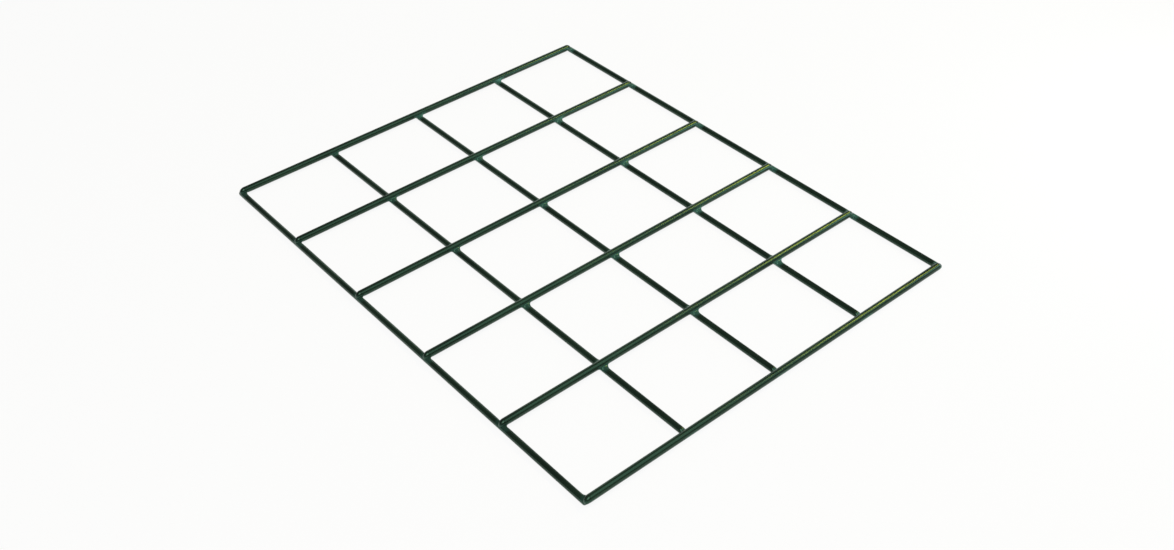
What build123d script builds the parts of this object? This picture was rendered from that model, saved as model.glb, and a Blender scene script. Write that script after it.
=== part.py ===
"""Welded wire mesh panel: long line wires underneath, short cross wires welded on top of them,
cut off flush round the edge and plastic coated as one piece."""

import os

from build123d import *

# Driving dimensions, in millimetres. Wire diameters are measured over the coating.
line_wire_diameter = 2.9
cross_wire_diameter = 3.3
cross_wire_spacing = 50.8
line_wire_spacing = 50.8
cross_wire_count = 6
line_wire_count = 5
# Each wire has this many flats round it, and one of them faces straight down.
wire_sides = 12
# How far the two layers of wire are sunk into each other by the welding.
weld_set_down = 1.5
# The coating runs together into a web round each weld. Along the axis of each wire, the web
# starts this far past the side of the other wire, and rises out of the wire nearer the weld.
coating_run = 3.4
# The wires are cut off just past the axes of the outermost wires, so that no end sticks out of
# the edge, and the coating rolls over the cut and bevels it.
end_past_axis = 0.2
end_bevel = 0.8

# The line wires lie on the ground and carry the cross wires.
line_wire_axis_height = line_wire_diameter / 2
cross_wire_axis_height = line_wire_diameter - weld_set_down + cross_wire_diameter / 2

line_wire_length = (cross_wire_count - 1) * cross_wire_spacing + 2 * end_past_axis
cross_wire_length = (line_wire_count - 1) * line_wire_spacing + 2 * end_past_axis


def coated_wire(diameter, length):
    """A straight wire along Z, centred on the origin, with bevelled ends."""
    with BuildPart() as wire:
        with BuildSketch(Plane.XY.offset(-length / 2)):
            RegularPolygon(diameter / 2, wire_sides, major_radius=False, rotation=180 / wire_sides)
        extrude(amount=length)
        wire_ends = wire.faces().filter_by(Axis.Z)
        chamfer(wire_ends.edges(), length=end_bevel)
    return wire.part


def diamond(half_length, half_width):
    """A diamond in the sketch being drawn, with its corners on the X and Y axes."""
    return Polygon((half_length, 0), (0, half_width), (-half_length, 0), (0, -half_width))


def coating_web():
    """The web round one weld: long in X inside the line wire, twisting to long in Y inside the cross wire."""
    with BuildPart() as web:
        with BuildSketch(Plane.XY.offset(line_wire_axis_height)):
            diamond(cross_wire_diameter / 2 + coating_run, line_wire_diameter / 2)
        with BuildSketch(Plane.XY.offset(cross_wire_axis_height)):
            diamond(cross_wire_diameter / 2, line_wire_diameter / 2 + coating_run)
        loft(ruled=True)
    return web.part


with BuildPart() as welded_mesh:
    with GridLocations(cross_wire_spacing, line_wire_spacing, cross_wire_count, line_wire_count):
        add(coating_web())
    # The webs of the outermost welds end where the wires do.
    with BuildSketch():
        Rectangle(line_wire_length, cross_wire_length)
    extrude(amount=cross_wire_axis_height, mode=Mode.INTERSECT)

    with Locations((0, 0, line_wire_axis_height)):
        with GridLocations(1, line_wire_spacing, 1, line_wire_count):
            add(coated_wire(line_wire_diameter, line_wire_length), rotation=(0, 90, 0))
    with Locations((0, 0, cross_wire_axis_height)):
        with GridLocations(cross_wire_spacing, 1, cross_wire_count, 1):
            add(coated_wire(cross_wire_diameter, cross_wire_length), rotation=(90, 0, 0))

welded_mesh.part.label = "welded_mesh"

os.makedirs("parts", exist_ok=True)
export_step(welded_mesh.part, "parts/welded_mesh.step")
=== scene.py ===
"""The welded wire mesh panel lying on a pale studio floor, seen from above one corner."""

import math

import bmesh
import bpy
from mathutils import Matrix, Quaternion, Vector


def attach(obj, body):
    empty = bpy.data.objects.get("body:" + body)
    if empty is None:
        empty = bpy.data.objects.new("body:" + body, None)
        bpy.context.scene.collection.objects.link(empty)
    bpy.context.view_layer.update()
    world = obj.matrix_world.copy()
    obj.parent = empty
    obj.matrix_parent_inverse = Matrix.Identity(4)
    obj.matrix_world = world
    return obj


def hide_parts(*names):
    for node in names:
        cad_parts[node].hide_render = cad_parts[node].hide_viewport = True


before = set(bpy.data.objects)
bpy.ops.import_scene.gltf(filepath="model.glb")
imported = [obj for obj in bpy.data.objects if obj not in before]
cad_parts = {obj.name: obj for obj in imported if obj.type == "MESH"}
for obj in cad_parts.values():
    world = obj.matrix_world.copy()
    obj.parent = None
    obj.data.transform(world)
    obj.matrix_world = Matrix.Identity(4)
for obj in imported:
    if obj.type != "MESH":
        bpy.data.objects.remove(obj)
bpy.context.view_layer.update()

mm = 0.001

# Sizes of the panel, as its solid has them. Wire diameters are measured over the coating.
line_wire_diameter = 2.9 * mm
cross_wire_diameter = 3.3 * mm
cross_wire_spacing = 50.8 * mm
line_wire_spacing = 50.8 * mm
cross_wire_count = 6
line_wire_count = 5
weld_set_down = 1.5 * mm

line_wire_height = line_wire_diameter / 2
cross_wire_height = line_wire_diameter - weld_set_down + cross_wire_diameter / 2

# The web of coating at a weld reaches this far from the weld's middle, along each wire.
web_on_line_wire = 3.9 * mm
web_on_cross_wire = 2.7 * mm
# The webs of the outermost welds have wire on one side only. They are this share of the others.
outer_web_share = 0.78
# A web has this many cuts between its two wires. It leaves them smoothly, and is hollowed a
# little at its waist.
web_cuts = 2
web_smoothness = 0.7
web_hollow = -0.15
# The wire is straight again this far past the end of a web.
web_run_out = 2.4 * mm
# The wires are cut off this far past the axes of the outermost wires. The cut ran a little to
# one side.
line_wire_past_left = 1.6 * mm
line_wire_past_right = 0 * mm
cross_wire_past_front = 1.3 * mm
cross_wire_past_back = 0.4 * mm
# How the coating rounds a wire towards its cut end: distance from the end, and share of the full
# diameter. A cross wire's end slopes down over the line wire that it is welded to.
line_wire_rounding = ((0.5 * mm, 1), (0, 0.8))
cross_wire_rounding = ((2.2 * mm, 1), (1.1 * mm, 0.87), (0, 0.55))


def deselect_all():
    """Leaves nothing selected, so that the next operator acts only on what is chosen."""
    if bpy.context.mode != "OBJECT":
        bpy.ops.object.mode_set(mode="OBJECT")
    bpy.ops.object.select_all(action="DESELECT")


def edit(piece):
    """Opens one piece in edit mode."""
    deselect_all()
    bpy.context.view_layer.objects.active = piece
    piece.select_set(True)
    bpy.ops.object.mode_set(mode="EDIT")


def pick(kind, wanted):
    """In edit mode, selects the edges or faces that pass a test on each one and its middle."""
    bpy.ops.mesh.select_mode(type={"edges": "EDGE", "faces": "FACE"}[kind])
    bpy.ops.mesh.select_all(action="DESELECT")
    mesh = bmesh.from_edit_mesh(bpy.context.object.data)
    for element in getattr(mesh, kind):
        middle = sum((vert.co for vert in element.verts), Vector()) / len(element.verts)
        if wanted(element, middle):
            element.select_set(True)
    mesh.select_flush_mode()
    bmesh.update_edit_mesh(bpy.context.object.data)


# The wires, as a cage that a subdivision surface rounds.

cage_sides = 8
# A subdivided ring of this many sides settles inside its cage, at this share of its radius.
settled_share = (4 + 2 * math.cos(2 * math.pi / cage_sides)) / 6
rounding_levels = 2
# Points of the cage nearer than this are one point.
same_point = 0.02 * mm
# A web joins the rims within this share of half the spacing. Past it are the open ends of the
# wires, which meet the next weld's.
near_weld = 0.9


def wire_rings(reach, half_spacing, rounding, cut_before, cut_after):
    """Where the rings of a wire's cage lie, with the share of its radius that each has.

    A cut is how far past the weld the wire is cut off, or None where it runs on to the next weld.
    """
    if cut_before is not None:
        rings = wire_rings(reach, half_spacing, rounding, None, cut_before)
        return [(-place, share) for place, share in reversed(rings)]
    low_places = (-half_spacing, -reach - web_run_out, -reach)
    low_half = [(place, 1) for place in low_places]
    if cut_after is None:
        middle = [(place, 1) for place in (-reach / 2, 0, reach / 2)]
        return low_half + middle + [(-place, 1) for place in reversed(low_places)]
    end = [(cut_after - before, share) for before, share in rounding]
    halfway_to_end = (end[0][0] - reach) / 2
    return low_half + [(halfway_to_end, 1)] + end


def wire_cage(diameter, height, along, rings, droop):
    """A wire along X or Y through the rings, closed at its cut end.

    With a droop of 1, the rounding of the end keeps to the wire's underside.
    """
    deselect_all()
    radius = diameter / 2
    centres = [
        along * place + Vector((0, 0, height - droop * (1 - share) * radius))
        for place, share in rings]
    turn = (0, math.pi / 2, 0) if along.x else (math.pi / 2, 0, 0)
    bpy.ops.mesh.primitive_circle_add(
        vertices=cage_sides, radius=radius / settled_share * rings[0][1],
        rotation=turn, location=centres[0])
    wire = bpy.context.object
    bpy.ops.object.transform_apply(location=True, rotation=True, scale=False)
    edit(wire)
    bpy.ops.mesh.select_mode(type="VERT")
    bpy.ops.mesh.select_all(action="SELECT")
    for step in range(1, len(rings)):
        bpy.ops.mesh.extrude_region_move(
            TRANSFORM_OT_translate={"value": centres[step] - centres[step - 1]})
        growth = rings[step][1] / rings[step - 1][1]
        bpy.ops.transform.resize(value=(growth, growth, growth), center_override=centres[step])
    for place, share in (rings[0], rings[-1]):
        if share < 1:
            pick("edges", lambda edge, middle: edge.is_boundary
                 and abs(middle.dot(along) - place) < same_point)
            bpy.ops.mesh.edge_face_add()
    return wire


def web_stretch(reach, rounding, cut_before, cut_after):
    """The stretch of a wire under a web, which stops where the coating rounds a cut end."""
    rounding_length = rounding[0][0]
    low = -reach if cut_before is None else rounding_length - cut_before
    high = reach if cut_after is None else cut_after - rounding_length
    return low, high


def crossing_cage(first_column, last_column, first_row, last_row):
    """One weld at the origin, with its wires out to halfway between welds or to their cut ends."""
    half_x = cross_wire_spacing / 2
    half_y = line_wire_spacing / 2
    is_outermost = first_column or last_column or first_row or last_row
    web_size = outer_web_share if is_outermost else 1
    reach_x = web_on_line_wire * web_size
    reach_y = web_on_cross_wire * web_size
    line_wire_cuts = (
        line_wire_past_left if first_column else None,
        line_wire_past_right if last_column else None)
    cross_wire_cuts = (
        cross_wire_past_front if first_row else None,
        cross_wire_past_back if last_row else None)
    low_x, high_x = web_stretch(reach_x, line_wire_rounding, *line_wire_cuts)
    low_y, high_y = web_stretch(reach_y, cross_wire_rounding, *cross_wire_cuts)

    # Where the wires meet, the line wire is open above and the cross wire below. An outermost
    # wire stays whole on its outer side.
    side_y = (0 if first_row else -half_y, 0 if last_row else half_y)
    line_wire = wire_cage(
        line_wire_diameter, line_wire_height, Vector((1, 0, 0)),
        wire_rings(reach_x, half_x, line_wire_rounding, *line_wire_cuts), droop=0)
    pick("faces", lambda face, middle: middle.z > line_wire_height
         and low_x < middle.x < high_x and side_y[0] < middle.y < side_y[1])
    bpy.ops.mesh.delete(type="FACE")

    side_x = (0 if first_column else -half_x, 0 if last_column else half_x)
    cross_wire = wire_cage(
        cross_wire_diameter, cross_wire_height, Vector((0, 1, 0)),
        wire_rings(reach_y, half_y, cross_wire_rounding, *cross_wire_cuts), droop=1)
    pick("faces", lambda face, middle: middle.z < cross_wire_height
         and low_y < middle.y < high_y and side_x[0] < middle.x < side_x[1])
    bpy.ops.mesh.delete(type="FACE")

    # A web of coating joins the rims of the two openings.
    deselect_all()
    line_wire.select_set(True)
    cross_wire.select_set(True)
    bpy.ops.object.join()
    crossing = bpy.context.object
    edit(crossing)
    pick("edges", lambda edge, middle: edge.is_boundary
         and abs(middle.x) < half_x * near_weld and abs(middle.y) < half_y * near_weld)
    bpy.ops.mesh.bridge_edge_loops(
        type="PAIRS", number_cuts=web_cuts, interpolation="PATH", smoothness=web_smoothness,
        profile_shape="SMOOTH", profile_shape_factor=web_hollow)
    deselect_all()
    return crossing


def panel_cage():
    """All the welds of the panel in one cage. Welds that are alike are modelled once and copied."""
    patterns = {}
    welds = []
    for column in range(cross_wire_count):
        for row in range(line_wire_count):
            sides = (
                column == 0, column == cross_wire_count - 1,
                row == 0, row == line_wire_count - 1)
            if sides not in patterns:
                patterns[sides] = crossing_cage(*sides)
            weld = patterns[sides].copy()
            weld.data = patterns[sides].data.copy()
            bpy.context.collection.objects.link(weld)
            weld.location = (
                (column - (cross_wire_count - 1) / 2) * cross_wire_spacing,
                (row - (line_wire_count - 1) / 2) * line_wire_spacing, 0)
            welds.append(weld)
    deselect_all()
    for pattern in patterns.values():
        pattern.select_set(True)
    bpy.ops.object.delete()
    for weld in welds:
        weld.select_set(True)
    bpy.context.view_layer.objects.active = welds[0]
    bpy.ops.object.transform_apply(location=True, rotation=False, scale=False)
    bpy.ops.object.join()
    cage = bpy.context.object
    cage.name = "coated_mesh"
    edit(cage)
    bpy.ops.mesh.select_all(action="SELECT")
    bpy.ops.mesh.remove_doubles(threshold=same_point)
    bpy.ops.mesh.normals_make_consistent(inside=False)
    deselect_all()
    return cage


def coated_mesh():
    """The whole panel, one smooth skin of coating over welded wires."""
    skin = panel_cage()
    bpy.context.view_layer.objects.active = skin
    skin.select_set(True)
    rounding = skin.modifiers.new("rounding", "SUBSURF")
    rounding.levels = rounding_levels
    rounding.render_levels = rounding_levels
    bpy.ops.object.modifier_apply(modifier=rounding.name)
    bpy.ops.object.shade_smooth()
    return skin


# Materials

def linear(hex_colour):
    """An sRGB hex colour as the linear values that a socket takes."""
    channels = [int(hex_colour[place:place + 2], 16) / 255 for place in (1, 3, 5)]
    light = [c / 12.92 if c <= 0.04045 else ((c + 0.055) / 1.055) ** 2.4 for c in channels]
    return (*light, 1)


def node(tree, kind, settings=(), links=()):
    """Adds a node, sets its properties and input values, and links its inputs.

    An input goes by its name or, where a node has several of one name, by its number.
    """
    added = tree.nodes.new(kind)
    for name, value in dict(settings).items():
        if isinstance(name, str) and hasattr(added, name):
            setattr(added, name, value)
        else:
            added.inputs[name].default_value = value
    for name, source in dict(links).items():
        tree.links.new(source, added.inputs[name])
    return added


def pvc_coating():
    """Dark green PVC, melted on over the galvanised wire after welding.

    Thick glossy skin that is nearly black straight on. Light that gets into it comes back off the
    zinc tinted green, so the highlights are green too. It fills the corners of the welds, and there
    a paler, bluer colour is painted on as a painted reflection. It sagged a little before it set,
    which leaves slow waves along the wires.
    """
    # The coating's thickness drifts over about half a cell, and with it the depth of the green.
    drift_size = 24 * mm
    # Handling has dulled it in patches of a few wire diameters.
    patch_size = 9 * mm
    glossiest, dullest = 0.15, 0.25
    # The waves that it sagged into, and the fine peel that a melted coating has: size and height.
    wave_size, wave_height = 7 * mm, 0.08 * mm
    peel_size, peel_height = 1.1 * mm, 0.01 * mm
    # Round each weld, from the floor to the middle of the cross wire, a paler, bluer painted
    # reflection lies on the web of coating. It is full out to one distance from its middle and
    # fades to nothing at another.
    reflection_full, reflection_end, fade_above = 2.6 * mm, 4.6 * mm, 0.9 * mm
    # The painted reflection's middle is moved a little towards the back right of each weld.
    reflection_right_shift, reflection_back_shift = 0.9 * mm, 0.3 * mm
    # The painted reflection is stronger towards the back of the panel than at the front.
    reflection_faint_at, reflection_strong_at, reflection_faint_share = -100 * mm, 50 * mm, 0.3

    material = bpy.data.materials.new("green_pvc_coating")
    material.use_nodes = True
    tree = material.node_tree
    shader = tree.nodes["Principled BSDF"]
    place = node(tree, "ShaderNodeTexCoord").outputs["Object"]

    # Noise keeps to the middle of its range, so only that part is spread over the two colours.
    drift = node(
        tree, "ShaderNodeTexNoise", {"Scale": 1 / drift_size, "Detail": 3}, {"Vector": place})
    depth = node(
        tree, "ShaderNodeMapRange", {"From Min": 0.35, "From Max": 0.65},
        {"Value": drift.outputs["Fac"]})
    green = node(
        tree, "ShaderNodeMix", {"data_type": "RGBA", 6: linear("#111A14"), 7: linear("#1B291F")},
        {"Factor": depth.outputs["Result"]})

    position = node(tree, "ShaderNodeSeparateXYZ", {}, {"Vector": place})
    # How far each point is from the middle of the painted reflection at its weld.
    from_reflection = []
    for axis, spacing, count, reflection_shift in (
            ("X", cross_wire_spacing, cross_wire_count, reflection_right_shift),
            ("Y", line_wire_spacing, line_wire_count, reflection_back_shift)):
        first_weld = -(count - 1) / 2 * spacing
        wrapped = node(tree, "ShaderNodeMath", {
            "operation": "WRAP", 1: first_weld - spacing / 2, 2: first_weld + spacing / 2},
            {0: position.outputs[axis]})
        offset = node(
            tree, "ShaderNodeMath", {"operation": "SUBTRACT", 1: first_weld + reflection_shift},
            {0: wrapped.outputs[0]})
        from_reflection.append(offset.outputs[0])
    across = node(tree, "ShaderNodeCombineXYZ", {}, {"X": from_reflection[0], "Y": from_reflection[1]})
    distance = node(tree, "ShaderNodeVectorMath", {"operation": "LENGTH"}, {0: across.outputs[0]})
    near = node(tree, "ShaderNodeMapRange", {
        "interpolation_type": "SMOOTHSTEP", "From Min": reflection_full, "From Max": reflection_end,
        "To Min": 1, "To Max": 0}, {"Value": distance.outputs["Value"]})
    low = node(tree, "ShaderNodeMapRange", {
        "interpolation_type": "SMOOTHSTEP", "From Min": cross_wire_height,
        "From Max": cross_wire_height + fade_above, "To Min": 1, "To Max": 0},
        {"Value": position.outputs["Z"]})
    inside = node(
        tree, "ShaderNodeMath", {"operation": "MULTIPLY"},
        {0: near.outputs["Result"], 1: low.outputs["Result"]})
    # The painted reflection fades towards the front of the panel.
    reflection_towards_back = node(tree, "ShaderNodeMapRange", {
        "From Min": reflection_faint_at, "From Max": reflection_strong_at, "To Min": reflection_faint_share, "To Max": 1},
        {"Value": position.outputs["Y"]})
    painted_reflection = node(
        tree, "ShaderNodeMath", {"operation": "MULTIPLY"},
        {0: inside.outputs[0], 1: reflection_towards_back.outputs["Result"]})
    # The paler, bluer painted reflection is mixed into the green round each weld.
    coat_and_reflection = node(
        tree, "ShaderNodeMix", {"data_type": "RGBA", 7: linear("#355B50")},
        {"Factor": painted_reflection.outputs[0], 6: green.outputs[2]})
    tree.links.new(coat_and_reflection.outputs[2], shader.inputs["Base Color"])

    patches = node(
        tree, "ShaderNodeTexNoise", {"Scale": 1 / patch_size, "Detail": 4}, {"Vector": place})
    gloss = node(tree, "ShaderNodeMapRange", {
        "From Min": 0.3, "From Max": 0.7, "To Min": glossiest, "To Max": dullest},
        {"Value": patches.outputs["Fac"]})
    tree.links.new(gloss.outputs["Result"], shader.inputs["Roughness"])

    sag = node(
        tree, "ShaderNodeTexNoise", {"Scale": 1 / wave_size, "Detail": 1}, {"Vector": place})
    waves = node(
        tree, "ShaderNodeBump", {"Strength": 0.12, "Distance": wave_height},
        {"Height": sag.outputs["Fac"]})
    peel = node(
        tree, "ShaderNodeTexNoise", {"Scale": 1 / peel_size, "Detail": 2}, {"Vector": place})
    skin = node(
        tree, "ShaderNodeBump", {"Strength": 0.06, "Distance": peel_height},
        {"Height": peel.outputs["Fac"], "Normal": waves.outputs["Normal"]})
    tree.links.new(skin.outputs["Normal"], shader.inputs["Normal"])

    shader.inputs["IOR"].default_value = 1.5
    shader.inputs["Specular Tint"].default_value = linear("#B8FFD5")
    return material


def assign(piece, material):
    """Gives a piece one material all over."""
    piece.data.materials.clear()
    piece.data.materials.append(material)


panel = coated_mesh()
assign(panel, pvc_coating())
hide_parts("welded_mesh")
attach(panel, "root")


# Floor and backdrop

# In metres. The backdrop stands just inside the floor's edges. It is low, because a tall one
# lightens the sides of the wires.
floor_side = 8
backdrop_radius = 3.9
backdrop_height = 0.5
backdrop_sides = 96


def matt_white_paint():
    """Matt white wall paint, rolled on.

    No gloss, and so even that it reads as plain white, with only the panel's shadow on it.
    """
    # Where it is looked at, straight or in a wire's gloss, this much of it is plain white, and
    # the rest takes the light and the panel's shadow.
    plain_white_share = 0.9

    material = bpy.data.materials.new("matt_white_paint")
    material.use_nodes = True
    tree = material.node_tree
    matt = tree.nodes["Principled BSDF"]
    matt.inputs["Base Color"].default_value = linear("#F2F2F2")
    matt.inputs["Roughness"].default_value = 0.9
    ray = node(tree, "ShaderNodeLightPath")
    looked_at = node(
        tree, "ShaderNodeMath", {"operation": "MAXIMUM"},
        {0: ray.outputs["Is Camera Ray"], 1: ray.outputs["Is Glossy Ray"]})
    looked_through = node(
        tree, "ShaderNodeMath", {"operation": "MAXIMUM"},
        {0: looked_at.outputs[0], 1: ray.outputs["Is Transmission Ray"]})
    whiteness = node(
        tree, "ShaderNodeMath", {"operation": "MULTIPLY", 1: plain_white_share},
        {0: looked_through.outputs[0]})
    white = node(tree, "ShaderNodeEmission", {"Color": linear("#FFFFFF"), "Strength": 1})
    mix = node(
        tree, "ShaderNodeMixShader", {},
        {"Fac": whiteness.outputs[0], 1: matt.outputs[0], 2: white.outputs[0]})
    tree.links.new(mix.outputs[0], tree.nodes["Material Output"].inputs["Surface"])
    return material


def studio_room(paint):
    """A plain floor, with a low round backdrop that hides its edge in low views."""
    deselect_all()
    bpy.ops.mesh.primitive_plane_add(size=floor_side, location=(0, 0, 0))
    floor = bpy.context.object
    floor.name = "studio_floor"
    deselect_all()
    bpy.ops.mesh.primitive_cylinder_add(
        vertices=backdrop_sides, radius=backdrop_radius, depth=backdrop_height,
        end_fill_type="NOTHING", location=(0, 0, backdrop_height / 2))
    backdrop = bpy.context.object
    backdrop.name = "studio_backdrop"
    edit(backdrop)
    bpy.ops.mesh.select_all(action="SELECT")
    bpy.ops.mesh.flip_normals()
    deselect_all()
    for piece in (floor, backdrop):
        assign(piece, paint)


studio_room(matt_white_paint())


# Light

def soft_light(name, azimuth, height, distance, size, power, colour):
    """A soft box that looks at the middle of the panel.

    Its azimuth and height are in degrees, its distance and size in metres, its power in watts.
    """
    lamp = bpy.data.lights.new(name, "AREA")
    lamp.shape = "RECTANGLE"
    lamp.size, lamp.size_y = size
    lamp.energy = power
    lamp.color = linear(colour)[:3]
    box = bpy.data.objects.new(name, lamp)
    bpy.context.collection.objects.link(box)
    azimuth = math.radians(azimuth)
    height = math.radians(height)
    level = math.cos(height)
    towards = Vector((level * math.cos(azimuth), level * math.sin(azimuth), math.sin(height)))
    box.location = towards * distance
    box.rotation_euler = towards.to_track_quat("Z", "Y").to_euler()


# Over the back right, it lays the pale highlights along the cross wires.
soft_light("back_soft_box", 50, 52, 1.3, (1.0, 1.0), 4.7, "#E2F6F6")
# Beside it, this strip gives the yellow streak along the back of the cross wires.
soft_light("warm_strip", 80, 48, 1.2, (0.6, 0.09), 3.3, "#FFD752")
# Low at the back left, it draws the faint edge of light on the far sides of the line wires.
soft_light("cool_side_box", 142, 24, 0.9, (0.5, 0.5), 0.6, "#E0F5E8")
# A small card close to the back right corner puts a second, bluer highlight on the cross wires.
soft_light("cool_card", 57, 15, 0.384, (0.16, 0.14), 0.3, "#CFE9F5")
# Over the camera's side, it brings out the coating's own green and lights the floor evenly.
soft_light("front_fill", -50, 60, 1.6, (1.0, 1.0), 12, "#FFFFFF")

# Weak even light from all round, a little cooler than white.
world = bpy.data.worlds.new("studio")
bpy.context.scene.world = world
world.use_nodes = True
surroundings = world.node_tree.nodes["Background"]
surroundings.inputs["Color"].default_value = linear("#F0F4F2")
surroundings.inputs["Strength"].default_value = 0.19


# Camera

def studio_camera():
    """The photograph's view: above the corner of the panel between the front and right sides."""
    place = Vector((372.35, -301.02, 372.15)) * mm
    aim = Vector((26.91, -16.52, 0)) * mm
    roll = math.radians(-1.326)
    lens = bpy.data.cameras.new("camera")
    lens.sensor_width = 36
    lens.lens = 40.485
    lens.clip_start = 0.01
    camera = bpy.data.objects.new("camera", lens)
    bpy.context.collection.objects.link(camera)
    camera.location = place
    level = (aim - place).to_track_quat("-Z", "Y")
    camera.rotation_euler = (level @ Quaternion((0, 0, 1), roll)).to_euler()
    bpy.context.scene.camera = camera


studio_camera()
bpy.context.scene.view_settings.view_transform = "Standard"
